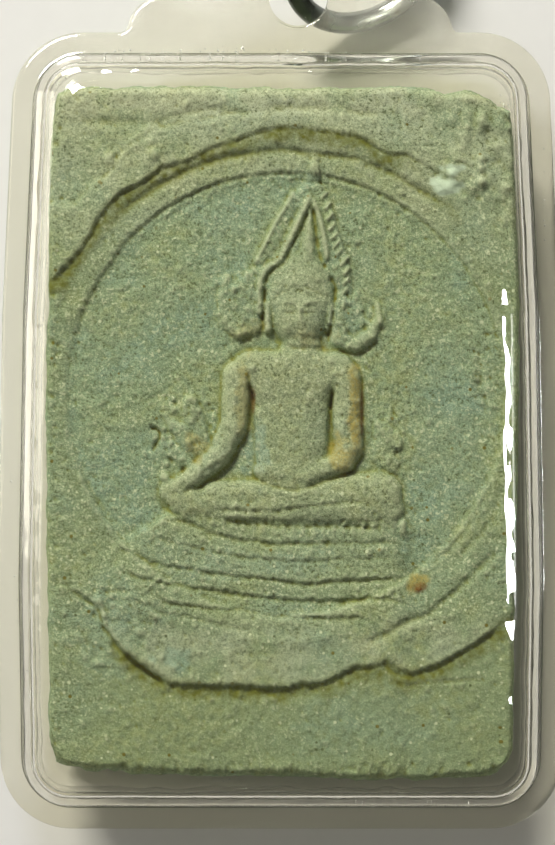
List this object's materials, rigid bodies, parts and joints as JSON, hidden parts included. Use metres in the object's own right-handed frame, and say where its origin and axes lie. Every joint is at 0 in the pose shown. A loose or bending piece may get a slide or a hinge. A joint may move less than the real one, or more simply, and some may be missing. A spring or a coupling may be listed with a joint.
{
  "type": "thai buddha amulet pendant",
  "caption": "Pressed clay amulet tablet with a cast seated figure, sealed in a clear two-shell case with a hanging tab and a loose metal ring.",
  "frame": {"origin": "middle of the case's flat back, on the surface it lies on", "axes": "+Z out of the tablet's front, +Y from the figure's base towards its head and the ring, +X to the right seen from the front"},
  "size_m": [0.0298, 0.0496, 0.0069],
  "materials": {
    "clay": "matt pressed clay with sand grains",
    "clear_plastic": "clear, slightly yellowed and scuffed",
    "ring_metal": "tarnished nickel plate"
  },
  "bodies": {
    "pendant": {"tablet": "clay", "case_back": "clear_plastic", "case_front": "clear_plastic"},
    "ring": {"ring": "ring_metal"}
  },
  "joints": [
    {"name": "ring_swing", "type": "hinge", "parent": "pendant", "child": "ring", "pos_m": [0.0009, 0.02291, 0.00347], "axis": [0.866, 0.5, 0], "range_deg": [0, 88]}
  ]
}
